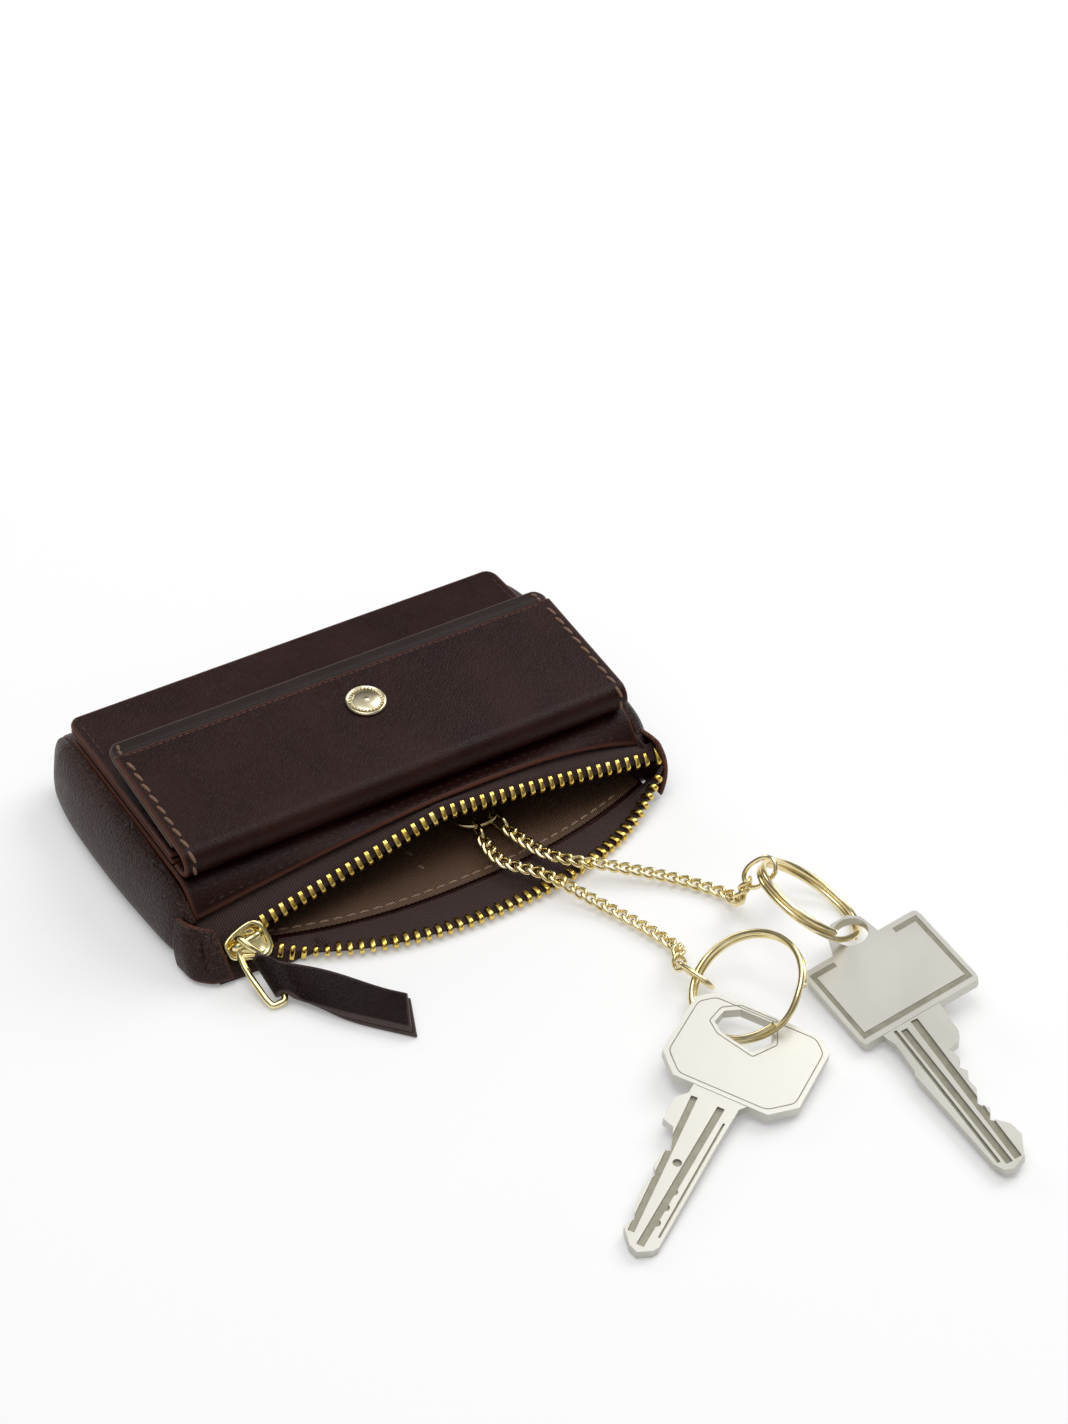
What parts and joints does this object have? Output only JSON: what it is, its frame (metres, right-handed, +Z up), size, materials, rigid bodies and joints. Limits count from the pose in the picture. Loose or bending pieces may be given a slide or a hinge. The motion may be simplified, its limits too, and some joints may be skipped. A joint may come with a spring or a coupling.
{
  "type": "key case",
  "caption": "Leather key case with a zip pouch, a snap flap pocket on top, and chains that come out of the open zip to split rings with flat keys.",
  "frame": {"origin": "middle of the pouch's flat underside, on the table", "axes": "X along the case, the zip mouth faces -Y, +Z up"},
  "size_m": [0.1334, 0.1993, 0.0276],
  "materials": {
    "leather": "grained, semi-gloss dark brown",
    "leather_edge": "smooth dark brown",
    "lining": "woven brown",
    "tape": "woven taupe zip tape",
    "zip_brass": "polished gold tone",
    "snap_brass": "polished pale gold tone",
    "chain_brass": "polished gold tone",
    "key_nickel": "nickel, fine brushed"
  },
  "bodies": {
    "case": {"back_wall": "leather", "front_wall": "leather", "gusset_left": "leather", "gusset_right": "leather", "back_lining": "lining", "front_lining": "lining", "zipper_tape_upper": "tape", "zipper_tape_lower": "tape", "zipper_teeth_upper": "zip_brass", "zipper_teeth_lower": "zip_brass", "zipper_end_tab_left": "leather_edge", "zipper_end_tab_right": "leather_edge", "bottom_stop": "zip_brass", "top_stops": "zip_brass", "key_loop_strap": "tape", "leaf_base": "leather", "leaf_pocket": "leather", "snap_stud": "snap_brass", "snap_post": "snap_brass"},
    "flap": {"flap_outer": "leather", "flap_inner": "leather_edge", "snap_cap": "snap_brass", "snap_socket": "snap_brass"},
    "slider": {"slider_body": "zip_brass"},
    "bail": {"pull_bail": "zip_brass"},
    "tab": {"pull_tab": "leather_edge"},
    "anchor": {"anchor_ring": "chain_brass"},
    "chain_1_root": {"chain_1_root": "chain_brass"},
    "chain_1_middle": {"chain_1_middle": "chain_brass"},
    "chain_1_end": {"chain_1_end": "chain_brass"},
    "end_link_1": {"end_link_1": "chain_brass"},
    "split_ring_1": {"split_ring_1": "chain_brass"},
    "key_1": {"key_1": "key_nickel"},
    "chain_2_root": {"chain_2_root": "chain_brass"},
    "chain_2_middle": {"chain_2_middle": "chain_brass"},
    "chain_2_end": {"chain_2_end": "chain_brass"},
    "end_link_2": {"end_link_2": "chain_brass"},
    "split_ring_2": {"split_ring_2": "chain_brass"},
    "key_2": {"key_2": "key_nickel"}
  },
  "joints": [
    {"name": "flap_open", "type": "hinge", "parent": "case", "child": "flap", "pos_m": [0, -0.0265, 0.0205], "axis": [1, 0, 0], "range_deg": [-4, 170]},
    {"name": "slider_travel", "type": "slide", "parent": "case", "child": "slider", "axis": [0.9858, 0.071, 0.1519], "range_m": [0, 0.044], "deforming": ["zipper_teeth_lower", "zipper_tape_lower"]},
    {"name": "bail_swing", "type": "hinge", "parent": "slider", "child": "bail", "pos_m": [-0.04611, -0.04236, 0.00829], "axis": [0.9858, 0.071, 0.1519], "range_deg": [-90, 0]},
    {"name": "tab_swing", "type": "hinge", "parent": "bail", "child": "tab", "pos_m": [-0.04465, -0.05346, 0.00397], "axis": [-0.1149, -0.3739, 0.9203], "range_deg": [-78, 20]},
    {"name": "anchor_lift", "type": "hinge", "parent": "case", "child": "anchor", "pos_m": [0.015, -0.0223, 0.0044], "axis": [1, 0, 0], "range_deg": [-18, 0]},
    {"name": "chain_1_root_swing", "type": "hinge", "parent": "anchor", "child": "chain_1_root", "pos_m": [0.0129, -0.03254, 0.0044], "axis": [0, 0, 1], "range_deg": [-8, 0]},
    {"name": "chain_1_middle_swing", "type": "hinge", "parent": "chain_1_root", "child": "chain_1_middle", "pos_m": [0.01392, -0.04835, 0.00461], "axis": [0, 0, 1], "range_deg": [-12, 0]},
    {"name": "chain_1_end_swing", "type": "hinge", "parent": "chain_1_middle", "child": "chain_1_end", "pos_m": [0.02554, -0.06778, 0.00171], "axis": [0, 0, 1], "range_deg": [-15, 0]},
    {"name": "end_link_1_swing", "type": "hinge", "parent": "chain_1_end", "child": "end_link_1", "pos_m": [0.02631, -0.0902, 0.00484], "axis": [0, 0, 1], "range_deg": [-12, 0]},
    {"name": "split_ring_1_swing", "type": "hinge", "parent": "end_link_1", "child": "split_ring_1", "pos_m": [0.02786, -0.09469, 0.00433], "axis": [0, 0, 1], "range_deg": [-12, 5]},
    {"name": "key_1_swing", "type": "hinge", "parent": "split_ring_1", "child": "key_1", "pos_m": [0.03275, -0.1049, 0.00766], "axis": [-0.5029, 0.0405, 0.8634], "range_deg": [-15, 15]},
    {"name": "chain_2_root_swing", "type": "hinge", "parent": "anchor", "child": "chain_2_root", "pos_m": [0.0177, -0.03218, 0.0044], "axis": [0, 0, 1], "range_deg": [0, 8]},
    {"name": "chain_2_middle_swing", "type": "hinge", "parent": "chain_2_root", "child": "chain_2_middle", "pos_m": [0.02112, -0.04816, 0.00487], "axis": [0, 0, 1], "range_deg": [0, 12]},
    {"name": "chain_2_end_swing", "type": "hinge", "parent": "chain_2_middle", "child": "chain_2_end", "pos_m": [0.03825, -0.06271, 0.00228], "axis": [0, 0, 1], "range_deg": [0, 15]},
    {"name": "end_link_2_swing", "type": "hinge", "parent": "chain_2_end", "child": "end_link_2", "pos_m": [0.04781, -0.08214, 0.01068], "axis": [0, 0, 1], "range_deg": [0, 12]},
    {"name": "split_ring_2_swing", "type": "hinge", "parent": "end_link_2", "child": "split_ring_2", "pos_m": [0.05029, -0.08418, 0.01417], "axis": [0, 0, 1], "range_deg": [-5, 12]},
    {"name": "key_2_swing", "type": "hinge", "parent": "split_ring_2", "child": "key_2", "pos_m": [0.05747, -0.09151, 0.00834], "axis": [0.5851, -0.0698, 0.808], "range_deg": [-15, 15]}
  ]
}
